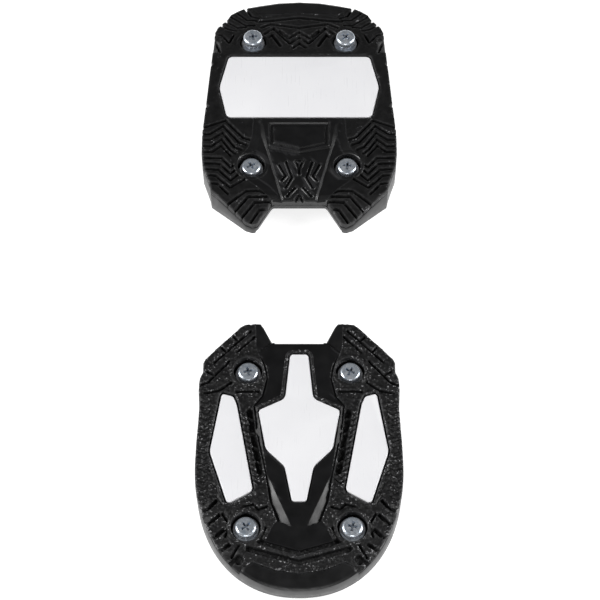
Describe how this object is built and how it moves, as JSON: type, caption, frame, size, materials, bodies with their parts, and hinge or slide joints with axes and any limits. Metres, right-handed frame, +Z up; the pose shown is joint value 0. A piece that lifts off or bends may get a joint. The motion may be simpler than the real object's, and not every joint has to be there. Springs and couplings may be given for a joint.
{
  "type": "ski boot sole pads",
  "caption": "Replaceable ski boot sole pads, toe and heel: hard carriers with chevron rubber tread, white slide plates and cross-recess screws with washers.",
  "frame": {"origin": "centre of the pair's bounding box, on the plane of the boot-side rims", "axes": "+X across the boot, +Y from the toe pad towards the heel's rear end, +Z up out of the tread"},
  "size_m": [0.0716, 0.2428, 0.0153],
  "materials": {
    "carrier": "satin",
    "rubber": "matte",
    "slide_plate": "gloss",
    "zinc": "satin"
  },
  "bodies": {
    "toe_pad": {"toe_base": "carrier", "toe_tread": "rubber", "toe_centre_plate": "slide_plate", "toe_left_plate": "slide_plate", "toe_right_plate": "slide_plate"},
    "heel_pad": {"heel_base": "carrier", "heel_tread": "rubber", "heel_plate": "slide_plate"},
    "toe_rear_left_washer_body": {"toe_rear_left_washer": "zinc"},
    "toe_rear_left_screw_body": {"toe_rear_left_screw": "zinc"},
    "toe_rear_right_washer_body": {"toe_rear_right_washer": "zinc"},
    "toe_rear_right_screw_body": {"toe_rear_right_screw": "zinc"},
    "toe_front_left_washer_body": {"toe_front_left_washer": "zinc"},
    "toe_front_left_screw_body": {"toe_front_left_screw": "zinc"},
    "toe_front_right_washer_body": {"toe_front_right_washer": "zinc"},
    "toe_front_right_screw_body": {"toe_front_right_screw": "zinc"},
    "heel_rear_left_washer_body": {"heel_rear_left_washer": "zinc"},
    "heel_rear_left_screw_body": {"heel_rear_left_screw": "zinc"},
    "heel_rear_right_washer_body": {"heel_rear_right_washer": "zinc"},
    "heel_rear_right_screw_body": {"heel_rear_right_screw": "zinc"},
    "heel_front_left_washer_body": {"heel_front_left_washer": "zinc"},
    "heel_front_left_screw_body": {"heel_front_left_screw": "zinc"},
    "heel_front_right_washer_body": {"heel_front_right_washer": "zinc"},
    "heel_front_right_screw_body": {"heel_front_right_screw": "zinc"}
  },
  "joints": [
    {"name": "heel_spacing", "type": "slide", "parent": "toe_pad", "child": "heel_pad", "axis": [0, 1, 0], "range_m": [0, 0.1]},
    {"name": "toe_rear_left_turn", "type": "hinge", "parent": "toe_pad", "child": "toe_rear_left_washer_body", "pos_m": [-0.0175, -0.04375, 0.0092], "axis": [0, 0, 1], "continuous": true},
    {"name": "toe_rear_left_lift", "type": "slide", "parent": "toe_rear_left_washer_body", "child": "toe_rear_left_screw_body", "axis": [0, 0, 1], "range_m": [0, 0.012]},
    {"name": "toe_rear_right_turn", "type": "hinge", "parent": "toe_pad", "child": "toe_rear_right_washer_body", "pos_m": [0.0175, -0.04375, 0.0092], "axis": [0, 0, 1], "continuous": true},
    {"name": "toe_rear_right_lift", "type": "slide", "parent": "toe_rear_right_washer_body", "child": "toe_rear_right_screw_body", "axis": [0, 0, 1], "range_m": [0, 0.012]},
    {"name": "toe_front_left_turn", "type": "hinge", "parent": "toe_pad", "child": "toe_front_left_washer_body", "pos_m": [-0.0175, -0.10115, 0.0092], "axis": [0, 0, 1], "continuous": true},
    {"name": "toe_front_left_lift", "type": "slide", "parent": "toe_front_left_washer_body", "child": "toe_front_left_screw_body", "axis": [0, 0, 1], "range_m": [0, 0.012]},
    {"name": "toe_front_right_turn", "type": "hinge", "parent": "toe_pad", "child": "toe_front_right_washer_body", "pos_m": [0.0175, -0.10115, 0.0092], "axis": [0, 0, 1], "continuous": true},
    {"name": "toe_front_right_lift", "type": "slide", "parent": "toe_front_right_washer_body", "child": "toe_front_right_screw_body", "axis": [0, 0, 1], "range_m": [0, 0.012]},
    {"name": "heel_rear_left_turn", "type": "hinge", "parent": "heel_pad", "child": "heel_rear_left_washer_body", "pos_m": [-0.0175, 0.09775, 0.01], "axis": [0, 0, 1], "continuous": true},
    {"name": "heel_rear_left_lift", "type": "slide", "parent": "heel_rear_left_washer_body", "child": "heel_rear_left_screw_body", "axis": [0, 0, 1], "range_m": [-0.0019, 0.012]},
    {"name": "heel_rear_right_turn", "type": "hinge", "parent": "heel_pad", "child": "heel_rear_right_washer_body", "pos_m": [0.0175, 0.09775, 0.01], "axis": [0, 0, 1], "continuous": true},
    {"name": "heel_rear_right_lift", "type": "slide", "parent": "heel_rear_right_washer_body", "child": "heel_rear_right_screw_body", "axis": [0, 0, 1], "range_m": [-0.0019, 0.012]},
    {"name": "heel_front_left_turn", "type": "hinge", "parent": "heel_pad", "child": "heel_front_left_washer_body", "pos_m": [-0.0175, 0.04095, 0.0092], "axis": [0, 0, 1], "continuous": true},
    {"name": "heel_front_left_lift", "type": "slide", "parent": "heel_front_left_washer_body", "child": "heel_front_left_screw_body", "axis": [0, 0, 1], "range_m": [0, 0.012]},
    {"name": "heel_front_right_turn", "type": "hinge", "parent": "heel_pad", "child": "heel_front_right_washer_body", "pos_m": [0.0175, 0.04095, 0.0092], "axis": [0, 0, 1], "continuous": true},
    {"name": "heel_front_right_lift", "type": "slide", "parent": "heel_front_right_washer_body", "child": "heel_front_right_screw_body", "axis": [0, 0, 1], "range_m": [0, 0.012]}
  ]
}
